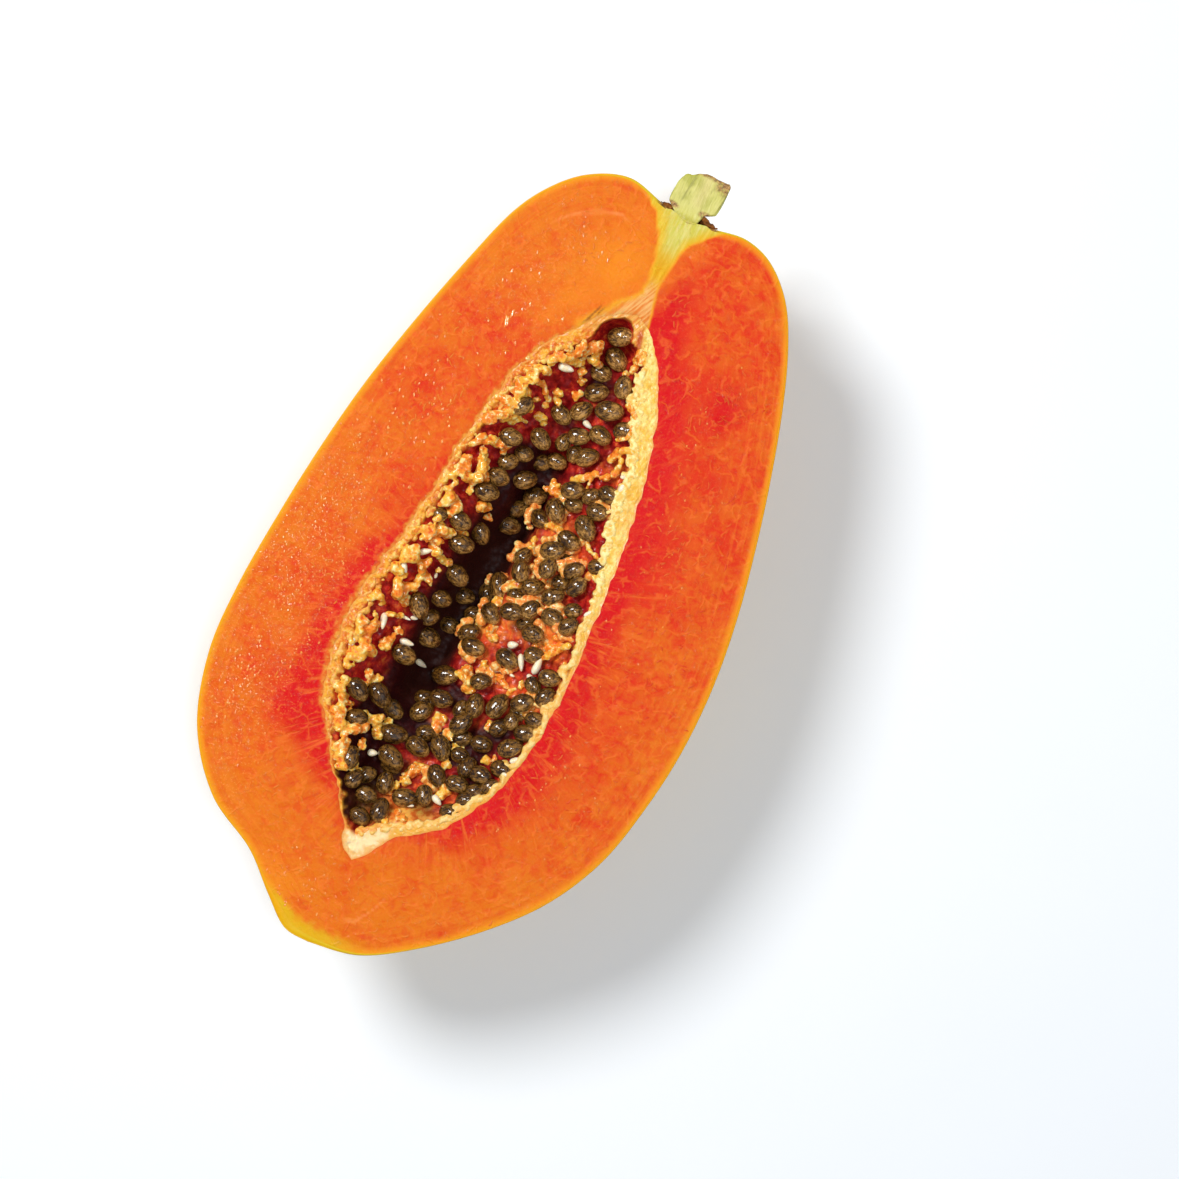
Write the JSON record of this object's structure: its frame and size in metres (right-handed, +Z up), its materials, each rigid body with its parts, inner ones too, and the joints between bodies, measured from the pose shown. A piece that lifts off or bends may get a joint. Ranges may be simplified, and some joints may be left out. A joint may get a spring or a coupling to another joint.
{
  "type": "papaya half",
  "caption": "Ripe papaya cut in half lengthwise, lying on its back: thin peel, orange-red flesh, and a pointed oval cavity lined with dark seeds, under a short stalk stump.",
  "frame": {"origin": "on the resting surface, under the middle of the half as seen from above", "axes": "+Z up, square to the cut face; +Y along the fruit towards the stalk; +X to the right when the stalk points up and the cut face is looked at"},
  "size_m": [0.1189, 0.217, 0.0572],
  "materials": {
    "peel": "waxy golden skin with greenish mottling",
    "flesh": "moist, translucent orange-red",
    "lining": "moist pulp, pale orange, with a few ivory seeds",
    "seeds": "wrinkled dark seeds in clear wet gel",
    "stalk": "dull green-brown, scarred"
  },
  "bodies": {
    "root": {"peel": "peel", "flesh": "flesh", "lining": "lining", "seeds_stalk_end": "seeds", "seeds_left_wall": "seeds", "seeds_right_wall": "seeds", "seeds_left_corner": "seeds", "seeds_right_corner": "seeds", "seeds_blossom_end": "seeds", "stalk": "stalk"}
  },
  "joints": []
}
